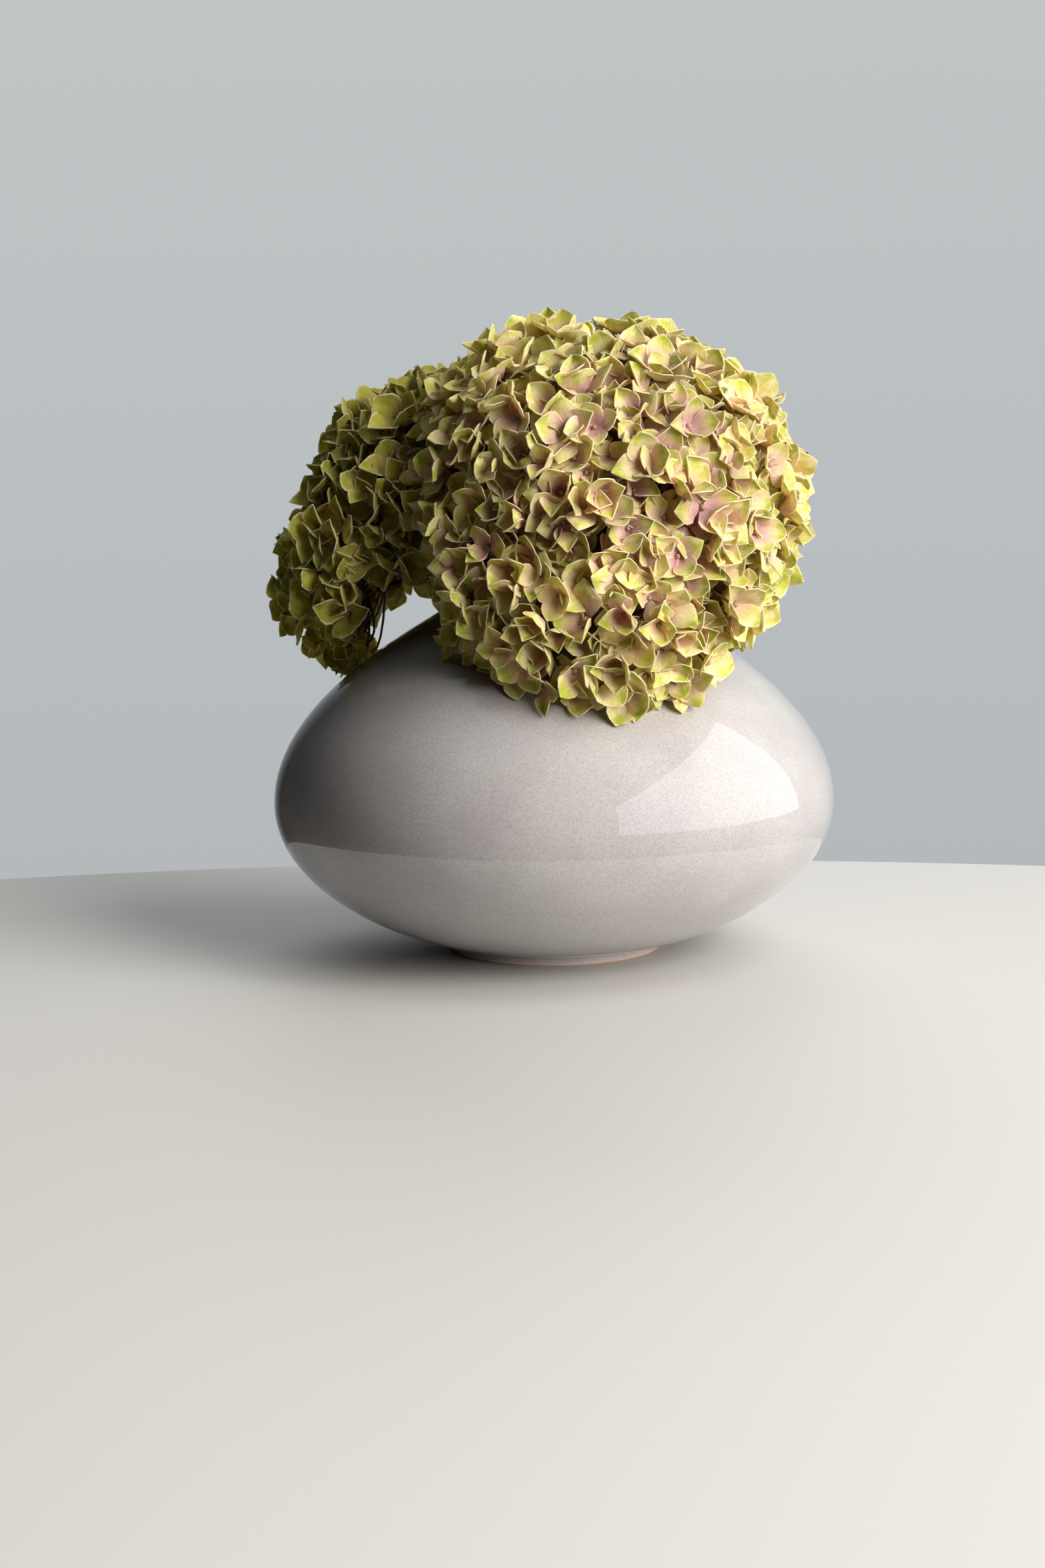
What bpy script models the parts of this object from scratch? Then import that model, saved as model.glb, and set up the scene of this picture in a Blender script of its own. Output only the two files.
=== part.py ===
"""Two cut hydrangea heads in a glazed oval vase.

Metres, +Z up. The origin is the centre of the vase's foot, on the surface it stands on; +X is
to the right and -Y is the front. The vase is turned. Each flower is a cut stem that leans on the
vase's lip, a set of branches at its top, and floret clusters spread over a dome at the branch tips.
"""

import math
from collections import namedtuple

import bmesh
import bpy
from mathutils import Matrix, Vector
from mathutils.geometry import interpolate_bezier

# Vase, outside
VASE_RADIUS = 0.110
VASE_HEIGHT = 0.144
WIDEST_HEIGHT = 0.059  # of the widest circle above the surface
LOWER_DEPTH = 0.0604  # semi-axis of the half ellipse under the widest circle
SHOULDER_RISE = 0.0397  # length of the upright handle of the shoulder's curve
SHOULDER_REACH = 0.0336  # length of the handle at the mouth
MOUTH_SLOPE = math.radians(27.5)  # of the wall beside the mouth, above the horizontal
MOUTH_RADIUS = 0.024  # where the shoulder's outside meets the lip's rounding

# Vase, wall and foot
WALL = 0.005
FOOT_RADIUS = 0.042
FOOT_WIDTH = 0.006
FOOT_EDGE = 0.0008  # small chamfer on the foot ring
FOOT_RECESS = 0.0016  # of the base inside the foot ring
FLOOR_THICKNESS = 0.0054

# Stems and branches
STEM_RADIUS = 0.0031
HUB_RADIUS = 0.0036  # of the knot at the stem's top that the branches leave
HUB_LENGTH = 0.008
HUB_RISE = 0.017  # of the hub above the mouth, along the stem
BRANCH_RADIUS = 0.0016
BRANCH_SHARE = 0.5  # of the way to its clusters where a branch forks into twigs
FORK_SWELL = 1.25  # radius of the knot at a fork over the branch's
TWIG_RADIUS = 0.0009

# Floret clusters and the domes that they form
CLUSTER_CROWN = 0.008  # from a cluster's widest circle up to its top
CLUSTER_BELLY = 0.0078  # from its widest circle down to where its sides end
CLUSTER_DEPTH = 0.0085  # from its widest circle down to its base
CLUSTER_BASE_RADIUS = 0.0014
CLUSTER_FILL = 0.50  # widest cluster radius over the mean distance between clusters
LOBE_SHARE = 0.07  # how far the lobes of a cluster stand out and in
BULGE_POWER = 6  # how narrow the bulge of a dome is
HEAD_OVERLAP = 0.66  # distance between head centres over the sum of the two dome radii
SEAM_SHARE = 0.55  # of a cluster's radius that must lie on its own side of the heads' seam
MOST_PUSH = 0.018  # how far the vase's shoulder may push a cluster out from its dome
LOWEST_FACING = -0.12  # sine of the steepest that a cluster may look down

# Clearances
TOUCH = 0.0003  # between pieces that rest on each other
LIP_GAP = 0.0006  # of a slanting stem from the lip
SLANT_ROOM = 1.12  # half width of a slanting stem at the lip over its radius
CLUSTER_APART = 0.0014  # between clusters
SHOULDER_GAP = 0.0006  # of a cluster from the vase's shoulder

# Fineness of the shapes
LATHE_STEPS = 48
ARC_POINTS = 9
SHOULDER_POINTS = 13
LIP_POINTS = 4
CLUSTER_SIDES = 12
CLUSTER_RINGS = 8
TUBE_RESOLUTION = 2
PUSH_STEPS = 18
GROUPING_ROUNDS = 6
WELD = 0.00001
NEARLY_NOTHING = 0.01  # of a share or a cosine
GOLDEN_ANGLE = math.pi * (3 - math.sqrt(5))

Head = namedtuple(
    "Head",
    "name radius axis cap_angle turn bulge bulge_share clusters branches shares rise stem_foot"
    " colour",
)

HEADS = (
    Head(
        name="right",
        radius=0.069,
        axis=Vector((0.10, -0.46, 0.88)).normalized(),
        cap_angle=math.radians(114),
        turn=math.radians(335),
        bulge=Vector((-0.70, 0.15, 0.70)).normalized(),
        bulge_share=0.24,
        clusters=30,
        branches=6,
        shares=Vector((0.30, -0.36)),
        rise=0.029,
        stem_foot=Vector((-0.034, 0.004)),
        colour="#C9C290",
    ),
    Head(
        name="left",
        radius=0.059,
        axis=Vector((-0.80, 0.20, 0.56)).normalized(),
        cap_angle=math.radians(106),
        turn=math.radians(310),
        bulge=Vector((-0.80, -0.05, -0.60)).normalized(),
        bulge_share=0.22,
        clusters=23,
        branches=5,
        shares=Vector((-0.46, 0.28)),
        rise=0.023,
        stem_foot=Vector((0.030, -0.002)),
        colour="#97A052",
    ),
)


def linear(hex_colour):
    """A linear RGBA colour from an sRGB hex value."""
    channels = [int(hex_colour[i : i + 2], 16) / 255 for i in (1, 3, 5)]
    return [c / 12.92 if c <= 0.04045 else ((c + 0.055) / 1.055) ** 2.4 for c in channels] + [1.0]


def material(name, hex_colour, roughness):
    made = bpy.data.materials.new(name)
    made.use_nodes = True
    shader = made.node_tree.nodes["Principled BSDF"]
    shader.inputs["Base Color"].default_value = linear(hex_colour)
    shader.inputs["Roughness"].default_value = roughness
    shader.inputs["Metallic"].default_value = 0.0
    made.diffuse_color = linear(hex_colour)
    return made


def add(collection, name, data, finish):
    """A new object from a mesh or a curve, in a collection, with its material."""
    made = bpy.data.objects.new(name, data)
    data.materials.append(finish)
    collection.objects.link(made)
    return made


def turned_towards(axis):
    """The rotation that takes +Z to axis."""
    return axis.to_track_quat("Z", "Y").to_matrix().to_4x4()


# The vase


def lower_outline():
    """Outside of the vase from the top of the foot up to the widest circle, as (radius, height)."""
    start = math.acos(FOOT_RADIUS / VASE_RADIUS)
    angles = [start * (1 - i / ARC_POINTS) for i in range(ARC_POINTS + 1)]
    return [(VASE_RADIUS * math.cos(a), WIDEST_HEIGHT - LOWER_DEPTH * math.sin(a)) for a in angles]


def shoulder_outline():
    """Outside of the vase from the widest circle up to the mouth, one smooth curve."""
    run, rise = math.cos(MOUTH_SLOPE), math.sin(MOUTH_SLOPE)
    mouth_height = VASE_HEIGHT
    points = interpolate_bezier(
        Vector((VASE_RADIUS, WIDEST_HEIGHT)),
        Vector((VASE_RADIUS, WIDEST_HEIGHT + SHOULDER_RISE)),
        Vector((MOUTH_RADIUS + SHOULDER_REACH * run, mouth_height - SHOULDER_REACH * rise)),
        Vector((MOUTH_RADIUS, mouth_height)),
        SHOULDER_POINTS,
    )
    return [(p.x, p.y) for p in points]


def inset(outline, depth):
    """An outline that runs up the outside, moved inwards by depth along its normals."""
    moved = []
    for i, (r, z) in enumerate(outline):
        before = Vector(outline[max(i - 1, 0)])
        after = Vector(outline[min(i + 1, len(outline) - 1)])
        along = (after - before).normalized()
        moved.append((r - depth * along.y, z + depth * along.x))
    return moved


def lip_outline(outside, inside):
    """The rounded lip, from the outer wall's last point over to the inner wall's."""
    outside, inside = Vector(outside), Vector(inside)
    middle, half = (outside + inside) / 2, (outside - inside) / 2
    forward = Vector((-half.y, half.x))
    turns = [math.pi * i / (LIP_POINTS + 1) for i in range(1, LIP_POINTS + 1)]
    return [tuple(middle + half * math.cos(t) + forward * math.sin(t)) for t in turns]


def vase_outline():
    """The half section: inner floor, up the inside, over the lip, down the outside, and under."""
    outer = lower_outline() + shoulder_outline()[1:]
    floor = FOOT_RECESS + FLOOR_THICKNESS
    inner = [(r, z) for r, z in inset(outer, WALL) if z > floor]
    edge = inner[0][0] - (inner[0][1] - floor)
    ring_inside = FOOT_RADIUS - FOOT_WIDTH
    under = [
        (FOOT_RADIUS, FOOT_EDGE),
        (FOOT_RADIUS - FOOT_EDGE, 0),
        (ring_inside + FOOT_EDGE, 0),
        (ring_inside - FOOT_RECESS, FOOT_RECESS),
        (0, FOOT_RECESS),
    ]
    lip = lip_outline(outer[-1], inner[-1])
    return [(0, floor), (edge, floor)] + inner + lip[::-1] + outer[::-1] + under


def make_vase(collection, finish):
    outline = vase_outline()
    mesh = bpy.data.meshes.new("vase")
    edges = [(i, i + 1) for i in range(len(outline) - 1)]
    mesh.from_pydata([(r, 0, z) for r, z in outline], edges, [])
    vase = add(collection, "vase", mesh, finish)
    screw = vase.modifiers.new("Turned", "SCREW")
    screw.axis = "Z"
    screw.steps = screw.render_steps = LATHE_STEPS
    screw.use_merge_vertices = True
    screw.merge_threshold = WELD
    screw.use_smooth_shade = True


def vase_top(radius):
    """Height of the vase's outside at this radius, on the shoulder and over the mouth."""
    outline = shoulder_outline()
    if radius >= outline[0][0]:
        return 0.0
    for (r_low, z_low), (r_high, z_high) in zip(outline, outline[1:]):
        if r_high <= radius <= r_low:
            share = (r_low - radius) / (r_low - r_high)
            return z_low + share * (z_high - z_low)
    return VASE_HEIGHT


# The flowers


def cluster_radius(head):
    """Radius of a cluster, from the share of the dome that each one has."""
    cap_area = 2 * math.pi * head.radius**2 * (1 - math.cos(head.cap_angle))
    return CLUSTER_FILL * math.sqrt(cap_area / head.clusters)


def cluster_directions(head):
    """Unit vectors spread evenly over the dome, from its crown down."""
    turn = turned_towards(head.axis).to_3x3()
    lowest = math.cos(head.cap_angle)
    found = []
    for i in range(head.clusters):
        height = 1 - (1 - lowest) * (i + 0.5) / head.clusters
        across = math.sqrt(1 - height**2)
        angle = head.turn + i * GOLDEN_ANGLE
        found.append(turn @ Vector((across * math.cos(angle), across * math.sin(angle), height)))
    return found


def dome_radius(head, direction):
    """From the dome's centre out to a cluster in this direction."""
    return head.radius * (1 + head.bulge_share * max(0, direction.dot(head.bulge)) ** BULGE_POWER)


def other_head(head):
    return HEADS[1] if head is HEADS[0] else HEADS[0]


def centre_over_vase(head):
    """The dome centre seen from above, in x and y."""
    apart = HEAD_OVERLAP * (HEADS[0].radius + HEADS[1].radius)
    return head.shares * apart


def kept_directions(head):
    """The dome's cluster directions, without those that lie inside the other head."""
    other = other_head(head)
    between = centre_over_vase(other) - centre_over_vase(head)
    apart = between.length
    towards = Vector((*between, 0)).normalized()
    seam = (apart**2 + head.radius**2 - other.radius**2) / (2 * apart)
    edge = cluster_radius(head) * SEAM_SHARE
    kept = []
    for direction in cluster_directions(head):
        facing = direction.dot(towards)
        if head.radius * facing + edge * math.sqrt(1 - facing**2) < seam:
            kept.append(direction)
    return kept


def head_centre(head):
    return Vector((*centre_over_vase(head), VASE_HEIGHT + head.rise))


def least_reach(place, height, outward, neighbours):
    """How far out a cluster may go at this height before its neighbours' half of the gap."""
    start = place @ Vector((0, 0, height))
    outward = place.to_3x3() @ outward
    own = place.translation
    limit = math.inf
    for neighbour in neighbours:
        between = neighbour.translation - own
        across = between.normalized()
        closing = outward.dot(across)
        if closing > NEARLY_NOTHING:
            room = (own + between / 2 - start).dot(across) - CLUSTER_APART / 2
            limit = min(limit, room / closing)
    return max(limit, CLUSTER_BASE_RADIUS)


def cluster_mesh(radius, place=None, neighbours=()):
    """A domed rosette with six lobes, narrowed where it meets its neighbours.

    Its base is a small flat disc at -CLUSTER_DEPTH.
    """
    shape = bmesh.new()
    bmesh.ops.create_uvsphere(shape, u_segments=CLUSTER_SIDES, v_segments=CLUSTER_RINGS, radius=1)
    base_ring = -math.cos(math.pi / CLUSTER_RINGS)
    lobes = CLUSTER_SIDES / 2
    for vertex in shape.verts:
        x, y, z = vertex.co
        across = math.hypot(x, y)
        if z < base_ring + NEARLY_NOTHING:
            share = CLUSTER_BASE_RADIUS / across if across > NEARLY_NOTHING else 0
            vertex.co = (x * share, y * share, -CLUSTER_DEPTH)
        elif across > NEARLY_NOTHING:
            height = z * (CLUSTER_CROWN if z > 0 else CLUSTER_BELLY)
            reach = across * radius * (1 + LOBE_SHARE * math.cos(lobes * math.atan2(y, x)))
            outward = Vector((x, y, 0)) / across
            if place is not None:
                reach = min(reach, least_reach(place, height, outward, neighbours))
            vertex.co = outward * reach
            vertex.co.z = height
        else:
            vertex.co = (0, 0, CLUSTER_CROWN)
    mesh = bpy.data.meshes.new("cluster")
    shape.to_mesh(mesh)
    shape.free()
    mesh.shade_smooth()
    return mesh


def clears_vase(shape, transform):
    for vertex in shape.vertices:
        point = transform @ vertex.co
        if point.z < vase_top(math.hypot(point.x, point.y)) + SHOULDER_GAP:
            return False
    return True


def cluster_places(head):
    """Where the head's clusters go, pushed out by the vase's shoulder where they must be."""
    shape = cluster_mesh(cluster_radius(head))
    places = []
    for direction in kept_directions(head):
        facing = Vector((direction.x, direction.y, max(direction.z, LOWEST_FACING))).normalized()
        start = head_centre(head) + direction * dome_radius(head, direction)
        for step in range(PUSH_STEPS + 1):
            push = MOST_PUSH * step / PUSH_STEPS
            place = Matrix.Translation(start + facing * push) @ turned_towards(facing)
            if clears_vase(shape, place):
                places.append(place)
                break
    bpy.data.meshes.remove(shape)
    return places


def make_clusters(collection, head, places, neighbours, finish):
    """The head's floret clusters. Returns (base point, outward direction) of each."""
    bases = []
    for number, place in enumerate(places, 1):
        others = [n for n in neighbours if n is not place]
        mesh = cluster_mesh(cluster_radius(head), place, others)
        cluster = add(collection, f"{head.name}_florets_{number:02d}", mesh, finish)
        cluster.matrix_world = place
        outward = place.to_3x3() @ Vector((0, 0, 1))
        bases.append((place.translation - outward * (CLUSTER_DEPTH + TOUCH), outward))
    return bases


def tube(collection, name, points, radius, finish):
    """A round tube through the points, with flat ends."""
    curve = bpy.data.curves.new(name, "CURVE")
    curve.dimensions = "3D"
    curve.bevel_depth = radius
    curve.bevel_resolution = TUBE_RESOLUTION
    curve.use_fill_caps = True
    spline = curve.splines.new("POLY")
    spline.points.add(len(points) - 1)
    for target, point in zip(spline.points, points):
        target.co = (*point, 1)
    return add(collection, name, curve, finish)


def as_mesh(curve_object):
    """The curve object made a mesh with its caps welded on."""
    graph = bpy.context.evaluated_depsgraph_get()
    mesh = bpy.data.meshes.new_from_object(curve_object.evaluated_get(graph))
    shape = bmesh.new()
    shape.from_mesh(mesh)
    bmesh.ops.remove_doubles(shape, verts=shape.verts, dist=WELD)
    shape.to_mesh(mesh)
    shape.free()
    bpy.data.objects.remove(curve_object)
    return mesh


def stem_line(head):
    """The stem's centreline as (foot, unit direction), from the vase's floor past the lip."""
    floor = FOOT_RECESS + FLOOR_THICKNESS
    foot = Vector((*head.stem_foot, floor))
    slant = (Vector((*lip_lean(head), VASE_HEIGHT)) - foot).normalized()
    foot.z += STEM_RADIUS * math.sqrt(1 - slant.z**2) + TOUCH
    return foot, slant


def lip_lean(head):
    """Where the stem's centreline passes the mouth: leaning on the lip, on the head's side."""
    inner = vase_mouth_radius()
    return head.shares.normalized() * (inner - STEM_RADIUS * SLANT_ROOM - LIP_GAP)


def vase_mouth_radius():
    """The smallest radius of the opening, at the lip."""
    outer = lower_outline() + shoulder_outline()[1:]
    lip = lip_outline(outer[-1], inset(outer, WALL)[-1])
    return min(r for r, _ in lip)


def grouped(bases, hub, count):
    """The cluster bases sorted by direction from the hub into groups, one for each branch."""
    seeds = [bases[i * len(bases) // count] for i in range(count)]
    for _ in range(GROUPING_ROUNDS):
        groups = [[] for _ in seeds]
        for base in bases:
            away = (base[0] - hub).normalized()
            nearest = max(range(count), key=lambda k: away.dot((seeds[k][0] - hub).normalized()))
            groups[nearest].append(base)
        groups = [g for g in groups if g]
        count = len(groups)
        seeds = [(sum((b[0] for b in g), Vector()) / len(g), None) for g in groups]
    return groups


def ball(radius, place):
    """A small round knot that joins tubes, as a mesh."""
    shape = bmesh.new()
    bmesh.ops.create_icosphere(shape, subdivisions=1, radius=radius)
    bmesh.ops.translate(shape, verts=shape.verts, vec=place)
    mesh = bpy.data.meshes.new("knot")
    shape.to_mesh(mesh)
    shape.free()
    return mesh


def make_branches(collection, helpers, head, hub, bases, heading, finish):
    """The branching top of the stem, one solid that ends just under each cluster."""
    pieces = []
    for group in grouped(bases, hub, head.branches):
        middle = sum((base for base, _ in group), Vector()) / len(group)
        fork = hub.lerp(middle, BRANCH_SHARE)
        branch = tube(collection, "branch", [hub, fork], BRANCH_RADIUS, finish)
        pieces += [as_mesh(branch), ball(BRANCH_RADIUS * FORK_SWELL, fork)]
        for base, direction in group:
            bend = base - direction * CLUSTER_DEPTH
            route = [fork, bend, base]
            pieces.append(as_mesh(tube(collection, "twig", route, TWIG_RADIUS, finish)))
    joined = bmesh.new()
    for piece in pieces:
        joined.from_mesh(piece)
        bpy.data.meshes.remove(piece)
    mesh = bpy.data.meshes.new(f"{head.name}_branches")
    joined.to_mesh(mesh)
    joined.free()
    branches = add(collection, f"{head.name}_branches", mesh, finish)

    half = heading * HUB_LENGTH / 2
    core = tube(helpers, "hub", [hub - half, hub + half], HUB_RADIUS, finish)
    knot = add(helpers, f"{head.name}_hub", as_mesh(core), finish)
    knot.hide_render = True
    knot.display_type = "WIRE"
    union = branches.modifiers.new("Grown together", "BOOLEAN")
    union.operation = "UNION"
    union.object = knot
    union.solver = "EXACT"
    union.use_self = True


def make_flower(collection, helpers, head, bases, finishes):
    foot, slant = stem_line(head)
    hub = foot + slant * ((VASE_HEIGHT - foot.z) / slant.z + HUB_RISE)
    stem_top = hub - slant * (HUB_LENGTH / 2 + TOUCH)
    tube(collection, f"{head.name}_stem", [foot, stem_top], STEM_RADIUS, finishes["stem"])
    make_branches(collection, helpers, head, hub, bases, slant, finishes["branch"])


def main():
    for old in list(bpy.data.objects):
        bpy.data.objects.remove(old)
    collection = bpy.data.collections.new("hydrangeas_in_vase")
    helpers = bpy.data.collections.new("helpers")
    bpy.context.scene.collection.children.link(collection)
    bpy.context.scene.collection.children.link(helpers)
    finishes = {
        "stem": material("woody_stem", "#6E5A3A", 0.65),
        "branch": material("red_branch", "#7A3B2C", 0.6),
    }
    for head in HEADS:
        finishes[head.name] = material(f"{head.name}_sepals", head.colour, 0.7)
    make_vase(collection, material("glazed_stoneware", "#C9C3BE", 0.15))
    places = {head.name: cluster_places(head) for head in HEADS}
    everywhere = [place for several in places.values() for place in several]
    for head in HEADS:
        bases = make_clusters(collection, head, places[head.name], everywhere, finishes[head.name])
        make_flower(collection, helpers, head, bases, finishes)


main()
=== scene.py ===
"""Two mophead hydrangea heads in a round glazed vase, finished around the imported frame."""

import math
import random

import bpy
import numpy as np
from mathutils import Matrix, Vector
from mathutils.geometry import interpolate_bezier


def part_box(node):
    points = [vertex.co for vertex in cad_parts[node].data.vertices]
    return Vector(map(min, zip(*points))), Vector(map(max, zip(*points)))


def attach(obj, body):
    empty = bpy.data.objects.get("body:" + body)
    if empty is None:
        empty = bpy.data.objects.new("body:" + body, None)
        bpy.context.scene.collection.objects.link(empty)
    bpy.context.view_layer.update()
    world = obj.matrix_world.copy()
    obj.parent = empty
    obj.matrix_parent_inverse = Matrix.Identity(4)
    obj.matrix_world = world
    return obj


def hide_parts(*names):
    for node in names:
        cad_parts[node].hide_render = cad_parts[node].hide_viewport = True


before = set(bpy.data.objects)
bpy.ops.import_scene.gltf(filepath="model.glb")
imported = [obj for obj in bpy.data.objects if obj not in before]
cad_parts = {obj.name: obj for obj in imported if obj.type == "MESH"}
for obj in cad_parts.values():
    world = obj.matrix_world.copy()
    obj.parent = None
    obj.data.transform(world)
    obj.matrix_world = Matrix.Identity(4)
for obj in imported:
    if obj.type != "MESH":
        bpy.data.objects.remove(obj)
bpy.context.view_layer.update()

BODY = "root"

# Vase, in metres: the part's own sizes
VASE_RADIUS = 0.110
VASE_HEIGHT = 0.144
WIDEST_HEIGHT = 0.059
LOWER_DEPTH = 0.0604
SHOULDER_RISE = 0.0397
SHOULDER_REACH = 0.0336
MOUTH_SLOPE = math.radians(27.5)
MOUTH_RADIUS = 0.024
WALL = 0.005
FOOT_RADIUS = 0.042
FOOT_WIDTH = 0.006
FOOT_EDGE = 0.0008
FOOT_RECESS = 0.0016
FLOOR_THICKNESS = 0.0054
LATHE_SIDES = 160
LOWER_RINGS = 22
SHOULDER_RINGS = 30
LIP_RINGS = 6
VASE_CREASE = math.radians(40)

# Florets: most are 18 to 26 mm across, with four broad sepals round a small bead
SEPAL_ACROSS = 4
SEPAL_ALONG = 6
SEPAL_THICKNESS = 0.00034
SEPAL_CREASE = math.radians(55)
CLAW_REACH = 0.0009
PAIR_GAP = 0.0005
SEPAL_TURN = 9
SEPAL_ROLL = 12
SMALLEST_SEPAL = 0.88
LARGEST_SEPAL = 1.10
BEAD_RADIUS = 0.0013
BEAD_SEGMENTS = 6
BEAD_RINGS = 4
NECK_WIDTH = 0.6
NECK_DROP = 0.7
BEAD_RISE = 0.9
ROW_TOLERANCE = 1e-5
GOLDEN_ANGLE = math.pi * (3 - math.sqrt(5))
BULGE_POWER = 6
SEAT_DEPTH = 0.0030
LAYER_DEPTH = 0.0048
UNDER_DEPTH = 0.0085
SHIFT = 0.0022
LEAN = 0.42
SMALLEST_FLORET = 0.77
LARGEST_FLORET = 1.07
LOWEST_FACING = -0.25
SEAM_REACH = 0.004

# How light, rosy and lime a floret is: lowest and highest chance factor, then how its place changes it; the
# darkening on a head's top is painted shade
LIGHT_SPREAD = (0.95, 1.12)
PAINTED_TOP_SHADE = 0.34
BLUSH_SPREAD = (0.55, 1.55)
BLUSH_EVERYWHERE = 0.30
BLUSH_IN_FRONT = 0.95
BLUSH_LOST_LOW = 0.6
LIME_SPREAD = (0.5, 1.6)
LIME_EVERYWHERE = 0.8
LIME_LOW = 0.9
LOW_FROM = 0.1

# A floret that would cut into the vase is pushed up and out along its shoulder
SHOULDER_GAP = 0.0006
SHOULDER_LEAN = 0.6
PUSH_STEP = 0.001
MOST_PUSHES = 14
LIP_ROOM = 0.002

# The hollow under the two heads, on the left: its middle, half its size, and its fall towards the back
NOTCH_MIDDLE = (-0.053, 0.129)
NOTCH_WIDTH = 0.018
NOTCH_HEIGHT = 0.020
NOTCH_SLOPE = 0.15

# Branching tops of the stems
BRANCH_RADIUS = 0.0017
TWIG_RADIUS = 0.0009
PEDICEL_RADIUS = 0.00042
BRANCH_SWELL = 1.2
TWIG_SWELL = 1.25
TWIG_TAPER = 0.9
PEDICEL_SWELL = 1.4
CLUSTER_DEPTH = 0.017
MAIN_FORKS = 6
MAIN_FORK_SHARE = 0.5
SIDE_FORK_SHARE = 0.42
TWIG_SAG = 0.003
PEDICEL_RUN = 0.007
ROUTE_POINTS = 6
STEM_SIDES = 8
BRANCH_CREASE = math.radians(50)
WELD = 1e-6

CAMERA_PLACE = (-0.0123, -1.1883, 0.2466)
CAMERA_PITCH = math.radians(81.3)
CAMERA_ROLL = math.radians(-0.6)
LENS = 70
SENSOR_WIDTH = 36

# The floor ends behind the vase; the glaze mirrors only the near floor, as it would a table top
FLOOR_RADIUS = 0.95
FLOOR_BACK = 0.19
FLOOR_DROP = 0.0001
NEAR_FLOOR_RADIUS = 0.205
NEAR_FLOOR_DROP = 0.0003
FLOOR_SIDES = 256


class Head:
    """One flower head: a dome of florets over a branching stem, in metres."""

    def __init__(self, name, centre, radius, axis, cap, turn, bulges, florets, blush, lime, seed):
        self.name = name
        self.centre = Vector(centre)
        self.radius = radius
        self.axis = Vector(axis).normalized()
        self.cap = math.radians(cap)
        self.turn = math.radians(turn)
        self.bulges = [(Vector(way).normalized(), share) for way, share in bulges]
        self.florets = florets
        self.blush = blush
        self.lime = lime
        self.rng = random.Random(seed)


RIGHT = Head("right", (0.0253, -0.0304, 0.169), 0.067, (0.10, -0.46, 0.88), 126, 335,
             (((-0.70, 0.15, 0.70), 0.22), ((0.02, -0.64, -0.76), 0.20), ((-0.66, -0.42, -0.60), 0.17),
              ((0.80, -0.10, -0.60), -0.15)),
             (540, 250), 0.84, 0.68, 11)
LEFT = Head("left", (-0.0389, 0.0237, 0.165), 0.058, (-0.80, 0.20, 0.56), 116, 310,
            (((-0.80, -0.05, -0.60), 0.20), ((-0.91, 0.0, 0.41), -0.13), ((-0.97, -0.10, -0.28), 0.07)),
            (410, 190), 0.26, 0.85, 23)
HEADS = (RIGHT, LEFT)


def colour(hex_code):
    """An sRGB hex colour as linear red, green, blue and alpha."""
    parts = [int(hex_code[i : i + 2], 16) / 255 for i in (1, 3, 5)]
    return (*[c / 12.92 if c <= 0.04045 else ((c + 0.055) / 1.055) ** 2.4 for c in parts], 1)


def add_node(tree, kind, inputs=None, stops=None, **settings):
    """A node with its settings, and its inputs as plain values or as sockets to link."""
    made = tree.nodes.new(kind)
    for name, value in settings.items():
        setattr(made, name, value)
    for key, value in (inputs or {}).items():
        if isinstance(value, bpy.types.NodeSocket):
            tree.links.new(value, made.inputs[key])
        else:
            made.inputs[key].default_value = value
    if stops:
        ramp = made.color_ramp.elements
        while len(ramp) < len(stops):
            ramp.new(0.5)
        for element, (place, shade) in zip(ramp, stops):
            element.position = place
            element.color = shade
    return made


def new_finish(name):
    """A material with an empty tree and its output node."""
    finish = bpy.data.materials.new(name)
    finish.use_nodes = True
    finish.node_tree.nodes.clear()
    return finish, finish.node_tree, finish.node_tree.nodes.new("ShaderNodeOutputMaterial")


def grey(value):
    return (value, value, value, 1)


# Finishes


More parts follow.
